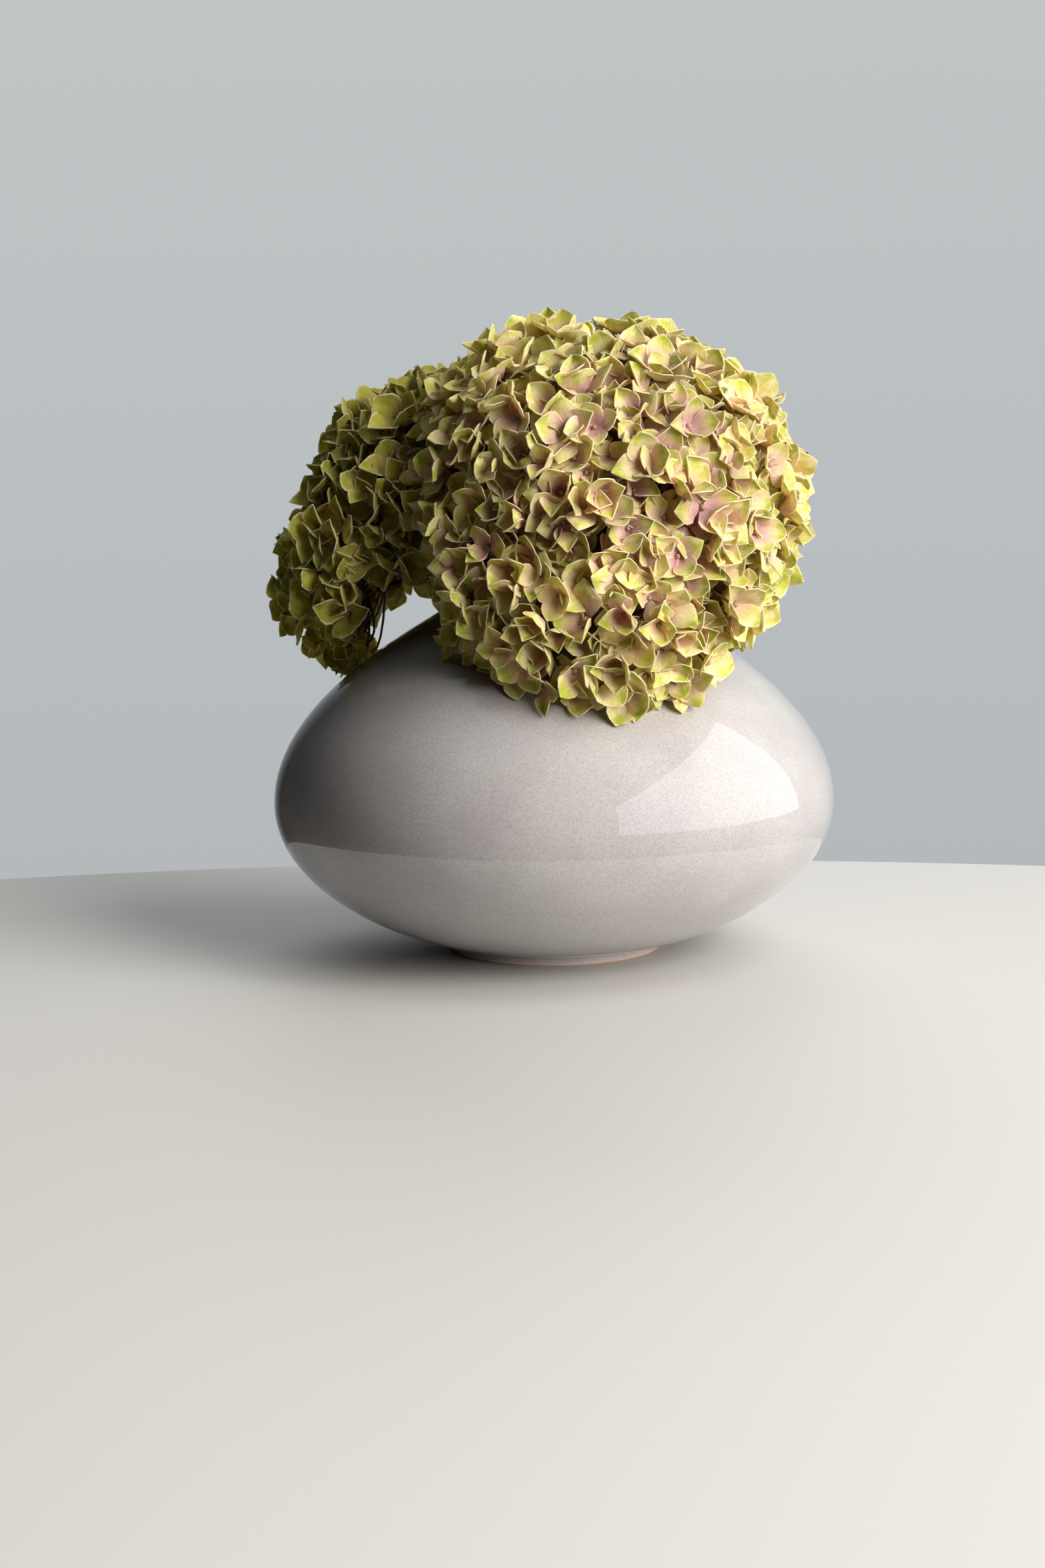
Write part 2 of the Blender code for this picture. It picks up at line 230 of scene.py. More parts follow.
def stoneware_glaze():
    """Stoneware under a clear warm grey glaze: wet gloss over fine ash flecks, bare clay at the foot."""
    finish, tree, out = new_finish("stoneware_glaze")
    place = add_node(tree, "ShaderNodeTexCoord").outputs["Object"]
    # Ash flecks in the glaze are 0.2 to 0.4 mm, drawn at 0.7 mm so that they show
    fleck = add_node(tree, "ShaderNodeTexNoise", {"Vector": place, "Scale": 1 / 0.0007, "Detail": 3,
                                                  "Roughness": 0.7})
    cloud = add_node(tree, "ShaderNodeTexNoise", {"Vector": place, "Scale": 1 / 0.030, "Detail": 2})
    fleck_tone = add_node(
        tree, "ShaderNodeValToRGB", {0: fleck.outputs[0]},
        stops=((0.34, colour("#9E9A99")), (0.50, colour("#ABA7A6")), (0.66, colour("#B5B1B0"))))
    cloud_tone = add_node(tree, "ShaderNodeValToRGB", {0: cloud.outputs[0]},
                          stops=((0.35, colour("#F3F0F0")), (0.65, colour("#FFFEFC"))))
    body = add_node(tree, "ShaderNodeMix", {0: 1.0, 6: fleck_tone.outputs[0], 7: cloud_tone.outputs[0]},
                    data_type="RGBA", blend_type="MULTIPLY")
    # Iron spots about 0.6 mm across, some 6 mm apart
    spot = add_node(tree, "ShaderNodeTexVoronoi", {"Vector": place, "Scale": 1 / 0.006, "Randomness": 1.0})
    spotted = add_node(tree, "ShaderNodeMapRange",
                       {0: spot.outputs["Distance"], 1: 0.04, 2: 0.07, 3: 0.35, 4: 0.0})
    speckled = add_node(tree, "ShaderNodeMix",
                        {0: spotted.outputs[0], 6: body.outputs[2], 7: colour("#8A7D76")},
                        data_type="RGBA")
    # The bottom millimetre of the foot is wiped clean of glaze before firing
    height = add_node(tree, "ShaderNodeSeparateXYZ", {0: place})
    ragged = add_node(tree, "ShaderNodeTexNoise", {"Vector": place, "Scale": 1 / 0.004})
    line = add_node(tree, "ShaderNodeMath", {0: ragged.outputs[0], 1: 0.0008, 2: height.outputs["Z"]},
                    operation="MULTIPLY_ADD")
    bare = add_node(tree, "ShaderNodeMapRange", {0: line.outputs[0], 1: 0.0013, 2: 0.0019, 3: 1.0, 4: 0.0})
    shade = add_node(tree, "ShaderNodeMix",
                     {0: bare.outputs[0], 6: speckled.outputs[2], 7: colour("#C7A698")},
                     data_type="RGBA")
    rough = add_node(tree, "ShaderNodeMapRange", {0: bare.outputs[0], 1: 0.0, 2: 1.0, 3: 0.32, 4: 0.75})
    # A dipped glaze pools in soft waves about 14 mm long, and its flecks stand up a little
    pool = add_node(tree, "ShaderNodeTexNoise", {"Vector": place, "Scale": 1 / 0.014, "Detail": 1})
    waves = add_node(tree, "ShaderNodeBump",
                     {"Height": pool.outputs[0], "Strength": 0.03, "Distance": 0.0006})
    grain = add_node(tree, "ShaderNodeBump",
                     {"Height": fleck.outputs[0], "Strength": 0.12, "Distance": 0.00004,
                      "Normal": waves.outputs[0]})
    shader = add_node(tree, "ShaderNodeBsdfPrincipled", {
        "Base Color": shade.outputs[2], "Roughness": rough.outputs[0], "IOR": 1.5,
        "Specular IOR Level": 0.05, "Coat Weight": 1.0, "Coat Roughness": 0.006, "Coat IOR": 1.62,
        "Normal": grain.outputs[0], "Coat Normal": waves.outputs[0]})
    tree.links.new(shader.outputs[0], out.inputs[0])
    return finish


def papery_sepal(name, body, pale, tip, throat):
    """A hydrangea sepal: thin and papery, light shows through it, green tips, blush throat, and a cream rim
    painted on as the highlight where its edges catch light.
    """
    finish, tree, out = new_finish(name)
    place = add_node(tree, "ShaderNodeTexCoord").outputs["Object"]
    petal = add_node(tree, "ShaderNodeUVMap", uv_map="petal").outputs[0]
    across = add_node(tree, "ShaderNodeSeparateXYZ", {0: petal})
    u, v = across.outputs["X"], across.outputs["Y"]
    tint = add_node(tree, "ShaderNodeAttribute", attribute_name="tint")
    share = add_node(tree, "ShaderNodeSeparateColor", {0: tint.outputs["Color"]})
    light, blush, lime = share.outputs
    own = add_node(tree, "ShaderNodeAttribute", attribute_name="own").outputs["Fac"]
    # Cloudy patches 4 mm across, where the green has faded to cream
    patch = add_node(tree, "ShaderNodeTexNoise", {"Vector": place, "Scale": 1 / 0.004, "Detail": 3})
    faded = add_node(tree, "ShaderNodeMapRange", {0: patch.outputs[0], 1: 0.38, 2: 0.66})
    ground = add_node(tree, "ShaderNodeMix", {0: faded.outputs[0], 6: colour(body), 7: colour(pale)},
                      data_type="RGBA")
    # Green gathers towards the tip of each sepal
    outward = add_node(tree, "ShaderNodeMapRange", {0: v, 1: 0.30, 2: 0.95},
                       interpolation_type="SMOOTHSTEP")
    reach = add_node(tree, "ShaderNodeMath", {0: outward.outputs[0], 1: lime}, operation="MULTIPLY")
    uneven = add_node(tree, "ShaderNodeMapRange", {0: patch.outputs[0], 1: 0.30, 2: 0.60, 3: 1.5, 4: 0.5})
    green = add_node(tree, "ShaderNodeMath", {0: reach.outputs[0], 1: uneven.outputs[0]},
                     operation="MULTIPLY", use_clamp=True)
    tipped = add_node(tree, "ShaderNodeMix", {0: green.outputs[0], 6: ground.outputs[2], 7: colour(tip)},
                      data_type="RGBA")
    # Dusty rose fills the throat
    inward = add_node(tree, "ShaderNodeMapRange", {0: v, 1: 0.12, 2: 0.86, 3: 1.0, 4: 0.0},
                      interpolation_type="SMOOTHSTEP")
    rose = add_node(tree, "ShaderNodeMath", {0: inward.outputs[0], 1: blush},
                    operation="MULTIPLY", use_clamp=True)
    flushed = add_node(tree, "ShaderNodeMix", {0: rose.outputs[0], 6: tipped.outputs[2], 7: colour(throat)},
                       data_type="RGBA")
    # Veins fan out from the claw, about 0.9 mm apart
    side = add_node(tree, "ShaderNodeMath", {0: u, 1: 0.5}, operation="SUBTRACT")
    fan = add_node(tree, "ShaderNodeCombineXYZ", {0: side.outputs[0], 1: v})
    vein_map = add_node(tree, "ShaderNodeMapping", {"Vector": fan.outputs[0], "Scale": (13, 1.6, 1)})
    vein = add_node(tree, "ShaderNodeTexNoise", {"Vector": vein_map.outputs[0], "Scale": 1.0, "Detail": 2,
                                                 "Distortion": 0.4})
    vein_tone = add_node(tree, "ShaderNodeValToRGB", {0: vein.outputs[0]},
                         stops=((0.40, grey(0.84)), (0.52, grey(1.0)), (0.62, grey(0.93))))
    veined = add_node(tree, "ShaderNodeMix", {0: 0.75, 6: flushed.outputs[2], 7: vein_tone.outputs[0]},
                      data_type="RGBA", blend_type="MULTIPLY")
    # Painted highlight: a pale cream line about 0.6 mm wide along the rim, where the edges catch light
    edge = add_node(tree, "ShaderNodeMath", {0: side.outputs[0]}, operation="ABSOLUTE")
    flank = add_node(tree, "ShaderNodeMapRange", {0: edge.outputs[0], 1: 0.425, 2: 0.472})
    end = add_node(tree, "ShaderNodeMapRange", {0: v, 1: 0.925, 2: 0.975})
    rim = add_node(tree, "ShaderNodeMath", {0: flank.outputs[0], 1: end.outputs[0]}, operation="MAXIMUM")
    rim_highlight_share = add_node(tree, "ShaderNodeMath", {0: rim.outputs[0], 1: 0.85}, operation="MULTIPLY")
    rim_highlighted = add_node(tree, "ShaderNodeMix",
                      {0: rim_highlight_share.outputs[0], 6: veined.outputs[2], 7: colour("#F0DFC8")},
                      data_type="RGBA")
    # A few tips have dried brown
    dry = add_node(tree, "ShaderNodeTexNoise", {"Vector": place, "Scale": 1 / 0.007, "Detail": 3})
    dried = add_node(tree, "ShaderNodeMapRange", {0: dry.outputs[0], 1: 0.66, 2: 0.70})
    brown = add_node(tree, "ShaderNodeMath", {0: dried.outputs[0], 1: end.outputs[0]}, operation="MULTIPLY")
    aged = add_node(tree, "ShaderNodeMix",
                    {0: brown.outputs[0], 6: rim_highlighted.outputs[2], 7: colour("#5A3E26")},
                    data_type="RGBA")
    # The tint's light share is random brightness plus the painted shade on the heads' tops
    value = add_node(tree, "ShaderNodeMath", {0: own, 1: 0.16, 2: light}, operation="MULTIPLY_ADD")
    shade = add_node(tree, "ShaderNodeHueSaturation", {"Value": value.outputs[0], "Color": aged.outputs[2]})
    # Crinkles between the veins, about 1.5 mm
    crinkle = add_node(tree, "ShaderNodeTexNoise", {"Vector": place, "Scale": 1 / 0.0015, "Detail": 2})
    folds = add_node(tree, "ShaderNodeBump",
                     {"Height": vein.outputs[0], "Strength": 0.45, "Distance": 0.0004})
    relief = add_node(tree, "ShaderNodeBump",
                      {"Height": crinkle.outputs[0], "Strength": 0.45, "Distance": 0.0002,
                       "Normal": folds.outputs[0]})
    front = add_node(tree, "ShaderNodeBsdfPrincipled", {
        "Base Color": shade.outputs[0], "Roughness": 0.62, "Specular IOR Level": 0.35, "Sheen Weight": 0.08,
        "Sheen Roughness": 0.5, "Normal": relief.outputs[0]})
    through = add_node(tree, "ShaderNodeBsdfTranslucent",
                       {"Color": shade.outputs[0], "Normal": relief.outputs[0]})
    both = add_node(tree, "ShaderNodeMixShader", {0: 0.42, 1: front.outputs[0], 2: through.outputs[0]})
    tree.links.new(both.outputs[0], out.inputs[0])
    return finish


def green_bead():
    """The closed true flower in each floret's middle: a waxy bead, green going to rose."""
    finish, tree, out = new_finish("green_bead")
    place = add_node(tree, "ShaderNodeTexCoord").outputs["Object"]
    mottle = add_node(tree, "ShaderNodeTexNoise", {"Vector": place, "Scale": 1 / 0.003, "Detail": 2})
    tone = add_node(tree, "ShaderNodeValToRGB", {0: mottle.outputs[0]},
                    stops=((0.35, colour("#8F8A4E")), (0.55, colour("#A98A70")), (0.70, colour("#8D6A5C"))))
    relief = add_node(tree, "ShaderNodeBump",
                      {"Height": mottle.outputs[0], "Strength": 0.3, "Distance": 0.0002})
    shader = add_node(tree, "ShaderNodeBsdfPrincipled", {
        "Base Color": tone.outputs[0], "Roughness": 0.42, "Normal": relief.outputs[0]})
    tree.links.new(shader.outputs[0], out.inputs[0])
    return finish


def living_wood(name, dark, mid, fresh, grain):
    """Young hydrangea wood: smooth red-brown skin going to green, with fine raised corky dashes."""
    finish, tree, out = new_finish(name)
    place = add_node(tree, "ShaderNodeTexCoord").outputs["Object"]
    drawn = add_node(tree, "ShaderNodeMapping", {"Vector": place, "Scale": (1, 1, 0.35)})
    streak = add_node(tree, "ShaderNodeTexNoise",
                      {"Vector": drawn.outputs[0], "Scale": 1 / grain, "Detail": 4})
    patch = add_node(tree, "ShaderNodeTexNoise", {"Vector": place, "Scale": 1 / 0.018, "Detail": 1})
    mixed = add_node(tree, "ShaderNodeMath", {0: streak.outputs[0], 1: 0.45, 2: patch.outputs[0]},
                     operation="MULTIPLY_ADD")
    tone = add_node(tree, "ShaderNodeValToRGB", {0: mixed.outputs[0]},
                    stops=((0.55, colour(dark)), (0.72, colour(mid)), (0.88, colour(fresh))))
    relief = add_node(tree, "ShaderNodeBump",
                      {"Height": streak.outputs[0], "Strength": 0.5, "Distance": 0.0002})
    shader = add_node(tree, "ShaderNodeBsdfPrincipled", {
        "Base Color": tone.outputs[0], "Roughness": 0.55, "Normal": relief.outputs[0]})
    tree.links.new(shader.outputs[0], out.inputs[0])
    return finish


def painted_floor(name, paint):
    """A plain pale floor, eggshell paint."""
    finish, tree, out = new_finish(name)
    place = add_node(tree, "ShaderNodeTexCoord").outputs["Object"]
    roll = add_node(tree, "ShaderNodeTexNoise", {"Vector": place, "Scale": 1 / 0.0012, "Detail": 2})
    relief = add_node(tree, "ShaderNodeBump",
                      {"Height": roll.outputs[0], "Strength": 0.05, "Distance": 0.0001})
    shader = add_node(tree, "ShaderNodeBsdfPrincipled", {
        "Base Color": colour(paint), "Roughness": 0.55, "Normal": relief.outputs[0]})
    tree.links.new(shader.outputs[0], out.inputs[0])
    return finish


# Modelling helpers


def deselect_all():
    if bpy.context.mode != "OBJECT":
        bpy.ops.object.mode_set(mode="OBJECT")
    bpy.ops.object.select_all(action="DESELECT")


def pick(*objects):
    """Only these objects selected, the first of them active."""
    deselect_all()
    for obj in objects:
        obj.select_set(True)
    bpy.context.view_layer.objects.active = objects[0]


def new_piece(name, finish):
    """Names and finishes the primitive that was just added."""
    piece = bpy.context.object
    piece.name = piece.data.name = name
    piece.data.materials.append(finish)
    return piece


def select_vertices(piece, test):
    """In edit mode, selects only the vertices whose place passes the test."""
    bpy.ops.mesh.select_all(action="DESELECT")
    bpy.ops.object.mode_set(mode="OBJECT")
    for vertex in piece.data.vertices:
        vertex.select = test(vertex.co)
    bpy.ops.object.mode_set(mode="EDIT")


def settle(piece):
    """Puts the piece's place, turn and size into its mesh."""
    pick(piece)
    bpy.ops.object.transform_apply(location=True, rotation=True, scale=True)


def copy_at(original, matrix):
    """A copy with its own mesh, placed by the matrix."""
    copy = original.copy()
    copy.data = original.data.copy()
    bpy.context.collection.objects.link(copy)
    copy.matrix_world = matrix
    return copy


def turned_towards(direction):
    return direction.to_track_quat("Z", "Y").to_matrix().to_4x4()


# The vase


def lower_outline():
    """Outside of the vase from the top of the foot up to the widest circle, as (radius, height)."""
    start = math.acos(FOOT_RADIUS / VASE_RADIUS)
    angles = [start * (1 - i / LOWER_RINGS) for i in range(LOWER_RINGS + 1)]
    return [(VASE_RADIUS * math.cos(a), WIDEST_HEIGHT - LOWER_DEPTH * math.sin(a)) for a in angles]


def shoulder_outline():
    """Outside of the vase from the widest circle up to the mouth, one smooth curve."""
    run, rise = math.cos(MOUTH_SLOPE), math.sin(MOUTH_SLOPE)
    points = interpolate_bezier(
        Vector((VASE_RADIUS, WIDEST_HEIGHT)),
        Vector((VASE_RADIUS, WIDEST_HEIGHT + SHOULDER_RISE)),
        Vector((MOUTH_RADIUS + SHOULDER_REACH * run, VASE_HEIGHT - SHOULDER_REACH * rise)),
        Vector((MOUTH_RADIUS, VASE_HEIGHT)),
        SHOULDER_RINGS,
    )
    return [(p.x, p.y) for p in points]


def inset(outline, depth):
    """An outline that runs up the outside, moved inwards by depth along its normals."""
    moved = []
    for i, (r, z) in enumerate(outline):
        before = Vector(outline[max(i - 1, 0)])
        after = Vector(outline[min(i + 1, len(outline) - 1)])
        along = (after - before).normalized()
        moved.append((r - depth * along.y, z + depth * along.x))
    return moved


def lip_outline(outside, inside):
    """The rounded lip, from the outer wall's last point over to the inner wall's."""
    outside, inside = Vector(outside), Vector(inside)
    middle, half = (outside + inside) / 2, (outside - inside) / 2
    forward = Vector((-half.y, half.x))
    turns = [math.pi * i / (LIP_RINGS + 1) for i in range(1, LIP_RINGS + 1)]
    return [tuple(middle + half * math.cos(t) + forward * math.sin(t)) for t in turns]


def vase_rings():
    """Rings from the inner floor up the inside, over the lip, down the outside and under the foot."""
    outer = lower_outline() + shoulder_outline()[1:]
    floor = FOOT_RECESS + FLOOR_THICKNESS
    inner = [(r, z) for r, z in inset(outer, WALL) if z > floor]
    edge = inner[0][0] - (inner[0][1] - floor)
    ring_inside = FOOT_RADIUS - FOOT_WIDTH
    under = [
        (FOOT_RADIUS, FOOT_EDGE),
        (FOOT_RADIUS - FOOT_EDGE, 0),
        (ring_inside + FOOT_EDGE, 0),
        (ring_inside - FOOT_RECESS, FOOT_RECESS),
    ]
    lip = lip_outline(outer[-1], inner[-1])
    return [(edge, floor)] + inner + lip[::-1] + outer[::-1] + under


def close_ring(vase, radius, height):
    """Closes one open ring with a fan of faces to its middle."""
    select_vertices(vase, lambda p: abs(p.z - height) < ROW_TOLERANCE
                    and abs(math.hypot(p.x, p.y) - radius) < ROW_TOLERANCE)
    bpy.ops.mesh.extrude_region_move(TRANSFORM_OT_translate={"value": (0, 0, 0)})
    bpy.ops.mesh.merge(type="CENTER")


def turn_vase(finish):
    """The vase drawn up ring by ring, as on a wheel."""
    rings = vase_rings()
    radius, height = rings[0]
    deselect_all()
    bpy.ops.mesh.primitive_circle_add(vertices=LATHE_SIDES, radius=radius, location=(0, 0, height))
    vase = new_piece("glazed_vase", finish)
    settle(vase)
    bpy.ops.object.mode_set(mode="EDIT")
    bpy.ops.mesh.select_all(action="SELECT")
    for next_radius, next_height in rings[1:]:
        bpy.ops.mesh.extrude_region_move(TRANSFORM_OT_translate={"value": (0, 0, next_height - height)})
        scale = next_radius / radius
        bpy.ops.transform.resize(value=(scale, scale, 1), center_override=(0, 0, next_height))
        radius, height = next_radius, next_height
    close_ring(vase, *rings[-1])
    close_ring(vase, *rings[0])
    bpy.ops.mesh.select_all(action="SELECT")
    bpy.ops.mesh.normals_make_consistent(inside=False)
    bpy.ops.object.mode_set(mode="OBJECT")
    bpy.ops.object.shade_smooth_by_angle(angle=VASE_CREASE)
    return vase


OUTSIDE = sorted(lower_outline()[-1:] + shoulder_outline()[1:])
OUTSIDE_RADII = np.array([r for r, _ in OUTSIDE])
OUTSIDE_HEIGHTS = np.array([z for _, z in OUTSIDE])


def clearance(points):
    """How far the lowest of these points is above the vase's outside, on its upper half."""
    radii = np.hypot(points[:, 0], points[:, 1])
    tops = np.interp(radii, OUTSIDE_RADII, OUTSIDE_HEIGHTS, left=VASE_HEIGHT + LIP_ROOM, right=0.0)
    return float((points[:, 2] - tops).min())


# The florets

# Half width of a sepal at each row from claw to tip, as a share of its widest
BROAD = (0.24, 0.60, 0.90, 1.00, 0.90, 0.58, 0.05)
POINTED = (0.22, 0.58, 0.94, 1.00, 0.80, 0.42, 0.03)
ROUND = (0.28, 0.68, 0.96, 1.00, 0.95, 0.70, 0.14)
# Name, row widths, length, width, edge lift, lengthwise curl, ripple in height and ripple's size
SEPAL_KINDS = (
    ("broad", BROAD, 0.0120, 0.0116, 0.0012, 0.0022, 0.0040, 0.0042),
    ("pointed", POINTED, 0.0126, 0.0104, 0.0020, 0.0008, 0.0036, 0.0048),
    ("round", ROUND, 0.0110, 0.0118, 0.0008, 0.0032, 0.0042, 0.0038),
    ("folded", BROAD, 0.0120, 0.0100, 0.0034, -0.0014, 0.0036, 0.0044),
    ("rolled", POINTED, 0.0120, 0.0112, -0.0018, -0.0030, 0.0040, 0.0040),
    ("frilled", BROAD, 0.0116, 0.0118, 0.0014, 0.0014, 0.0056, 0.0032),
)


def model_sepal(kind, finish):
    """One sepal with its claw at the origin and its tip along +Y, cupped upwards."""
    name, widths, length, width, lift, curl, ripple, ripple_size = kind
    deselect_all()
    bpy.ops.mesh.primitive_grid_add(x_subdivisions=SEPAL_ACROSS, y_subdivisions=SEPAL_ALONG, size=1)
    sepal = new_piece(f"sepal_{name}", finish)
    sepal.data.uv_layers[0].name = "petal"
    bpy.ops.object.mode_set(mode="EDIT")
    bpy.ops.mesh.select_all(action="SELECT")
    bpy.ops.transform.translate(value=(0, 0.5, 0))
    bpy.ops.transform.resize(value=(width, length, 1), center_override=(0, 0, 0))
    for column in range(SEPAL_ACROSS + 1):
        out = 2 * column / SEPAL_ACROSS - 1
        select_vertices(sepal, lambda p: abs(p.x - out * width / 2) < ROW_TOLERANCE)
        bpy.ops.transform.translate(value=(0, 0, lift * out * out))
    for row, share in enumerate(widths):
        along = length * row / SEPAL_ALONG
        select_vertices(sepal, lambda p: abs(p.y - along) < ROW_TOLERANCE)
        bpy.ops.transform.resize(value=(share, 1, share), center_override=(0, along, 0))
        bpy.ops.transform.translate(value=(0, 0, curl * (row / SEPAL_ALONG) ** 2))
    bpy.ops.object.mode_set(mode="OBJECT")
    waves = bpy.data.textures.new(f"ripple_{name}", "CLOUDS")
    waves.noise_scale = ripple_size
    ripples = sepal.modifiers.new("Ripples", "DISPLACE")
    ripples.texture = waves
    ripples.texture_coords = "LOCAL"
    ripples.direction = "Z"
    ripples.strength = ripple
    bpy.ops.object.modifier_apply(modifier="Ripples")
    sheet = sepal.modifiers.new("Sheet", "SOLIDIFY")
    sheet.thickness = SEPAL_THICKNESS
    sheet.offset = 0
    bpy.ops.object.modifier_apply(modifier="Sheet")
    bpy.ops.object.shade_smooth_by_angle(angle=SEPAL_CREASE)
    return sepal


def model_bead(finish):
    """The closed bead in a floret's middle, on a short neck."""
    deselect_all()
    bpy.ops.mesh.primitive_uv_sphere_add(segments=BEAD_SEGMENTS, ring_count=BEAD_RINGS, radius=BEAD_RADIUS)
    bead = new_piece("bead", finish)
    bead.data.uv_layers[0].name = "petal"
    bpy.ops.object.mode_set(mode="EDIT")
    select_vertices(bead, lambda p: p.z < -BEAD_RADIUS / 2)
    bpy.ops.transform.resize(value=(NECK_WIDTH, NECK_WIDTH, 1.0), center_override=(0, 0, 0))
    bpy.ops.transform.translate(value=(0, 0, -BEAD_RADIUS * NECK_DROP))
    bpy.ops.mesh.select_all(action="SELECT")
    bpy.ops.transform.translate(value=(0, 0, BEAD_RADIUS * BEAD_RISE))
    bpy.ops.object.mode_set(mode="OBJECT")
    bpy.ops.object.shade_smooth()
    return bead


def mark(piece, name, value):
    """One number or colour stored on every point of the piece."""
    mesh = piece.data
    if isinstance(value, tuple):
        layer = mesh.attributes.get(name) or mesh.attributes.new(name, "FLOAT_COLOR", "POINT")
        layer.data.foreach_set("color", list(value) * len(mesh.vertices))
    else:
        layer = mesh.attributes.get(name) or mesh.attributes.new(name, "FLOAT", "POINT")
        layer.data.foreach_set("value", [value] * len(mesh.vertices))


def join(pieces, name):
    """The pieces made one, with its place in its mesh."""
    pick(*pieces)
    if len(pieces) > 1:
        bpy.ops.object.join()
    joined = bpy.context.object
    joined.name = joined.data.name = name
    settle(joined)
    return joined


# Name, number of sepals, how steeply they rise in degrees, unevenness in degrees, size and how common
FLORET_KINDS = (
    ("open", 4, 16, 10, 1.00, 2),
    ("dished", 4, 27, 10, 1.02, 5),
    ("cupped", 4, 38, 9, 1.00, 7),
    ("bowl", 4, 50, 9, 0.98, 5),
    ("loose", 4, 28, 18, 0.96, 4),
    ("three", 3, 38, 10, 1.05, 2),
    ("five", 5, 36, 12, 0.92, 1),
    ("young", 4, 46, 14, 0.70, 3),
    ("deep", 4, 48, 12, 1.06, 5),
    ("half_shut", 4, 64, 10, 0.92, 2),
)


def model_floret(kind, sepals, bead, rng):
    """One floret facing +Z, its sepals in two crossed pairs round the bead."""
    name, count, rise, unevenness, size, _ = kind
    parts = [copy_at(bead, Matrix.Identity(4))]
    mark(parts[0], "own", 0.5)
    for i in range(count):
        angle = 2 * math.pi * i / count + math.radians(rng.uniform(-SEPAL_TURN, SEPAL_TURN))
        tilt = math.radians(rise + rng.uniform(-unevenness, unevenness))
        roll = math.radians(rng.uniform(-SEPAL_ROLL, SEPAL_ROLL))
        layer = PAIR_GAP * (i % 2)
        stretch = size * rng.uniform(SMALLEST_SEPAL, LARGEST_SEPAL)
        place = (
            Matrix.Rotation(angle, 4, "Z")
            @ Matrix.Translation((0, CLAW_REACH, layer))
            @ Matrix.Rotation(tilt, 4, "X")
            @ Matrix.Rotation(roll, 4, "Y")
            @ Matrix.Diagonal((stretch, stretch, stretch, 1))
        )
        sepal = copy_at(rng.choice(sepals), place)
        mark(sepal, "own", rng.random())
        parts.append(sepal)
    return join(parts, f"floret_{name}")


def dome_radius(head, direction):
    """From the dome's centre out to a floret in this direction."""
    swell = sum(share * max(0, direction.dot(way)) ** BULGE_POWER for way, share in head.bulges)
    return head.radius * (1 + swell)


def in_notch(point):
    """True in the hollow under the two heads, where only bare branches cross above the shoulder."""
    x, z = NOTCH_MIDDLE
    seen_height = point.z + NOTCH_SLOPE * point.y
    return ((point.x - x) / NOTCH_WIDTH) ** 2 + ((seen_height - z) / NOTCH_HEIGHT) ** 2 < 1


def in_other_head(head, point):
    """True where a floret would sit inside the other head."""
    other = LEFT if head is RIGHT else RIGHT
    out = point - other.centre
    own = point - head.centre
    depth = dome_radius(other, out.normalized()) - out.length
    own_depth = dome_radius(head, own.normalized()) - own.length
    return depth > own_depth + SEAM_REACH


def floret_places(head, florets):
    """Where each floret goes: (kind, matrix, outward direction), pushed clear of the vase."""
    rng = head.rng
    turn = turned_towards(head.axis).to_3x3()
    lowest = math.cos(head.cap)
    points = [np.array([v.co for v in f.data.vertices]) for f in florets]
    common = [kind[-1] for kind in FLORET_KINDS]
    places = []
    spots = [(i, count, layer) for layer, count in enumerate(head.florets) for i in range(count)]
    for i, count, layer in spots:
        height = 1 - (1 - lowest) * (i + 0.5) / count
        across = math.sqrt(1 - height**2)
        angle = head.turn + i * GOLDEN_ANGLE + layer
        direction = turn @ Vector((across * math.cos(angle), across * math.sin(angle), height))
        wander = Vector([rng.uniform(-1, 1) for _ in range(3)])
        depth = rng.uniform(-LAYER_DEPTH, LAYER_DEPTH) - layer * UNDER_DEPTH
        lean = Vector([rng.uniform(-1, 1) for _ in range(3)]) * LEAN
        spin = rng.uniform(0, 2 * math.pi)
        size = rng.uniform(SMALLEST_FLORET, LARGEST_FLORET)
        number = rng.choices(range(len(florets)), common)[0]
        seat = dome_radius(head, direction) - SEAT_DEPTH + depth
        start = head.centre + direction * seat + wander * SHIFT
        if in_other_head(head, start) or in_notch(start):
            continue
        facing = direction + lean
        facing.z = max(facing.z, LOWEST_FACING)
        facing.normalize()
        across_vase = Vector((start.x, start.y, 0)).normalized()
        off_shoulder = (across_vase * SHOULDER_LEAN + Vector((0, 0, 1))).normalized()
        turned = turned_towards(facing) @ Matrix.Rotation(spin, 4, "Z") @ Matrix.Scale(size, 4)
        for push in range(MOST_PUSHES):
            place = Matrix.Translation(start + off_shoulder * push * PUSH_STEP) @ turned
            grid = np.array(place.to_3x3())
            moved = points[number] @ grid.T + np.array(place.translation)
            if clearance(moved) > SHOULDER_GAP:
                places.append((number, place, facing))
                break
    return places


def head_shares(head, place):
    """Brightness, blush and lime of the floret here: rosier on the front, greener low and behind, and
    darker on top by painted shade, most on the less rosy left head.
    """
    rng = head.rng
    out = (place.translation - head.centre).normalized()
    front = max(0.0, -out.y)
    low = max(0.0, -out.z + LOW_FROM)
    placed_blush = head.blush * (BLUSH_EVERYWHERE + BLUSH_IN_FRONT * front)
    blush = placed_blush * rng.uniform(*BLUSH_SPREAD) * (1 - BLUSH_LOST_LOW * low)
    lime = head.lime * (LIME_EVERYWHERE + LIME_LOW * low) * rng.uniform(*LIME_SPREAD)
    # Painted shade: florets on top of a head are darkened, the more the less rosy the head is
    light = rng.uniform(*LIGHT_SPREAD) * (1 - PAINTED_TOP_SHADE * out.z * (1 - head.blush))
    return (light, min(blush, 1.0), min(lime, 1.0), 1.0)


def cluster_names(head):
    return sorted(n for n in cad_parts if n.startswith(f"{head.name}_florets_"))


def middle_of(node):
    low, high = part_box(node)
    return (low + high) / 2


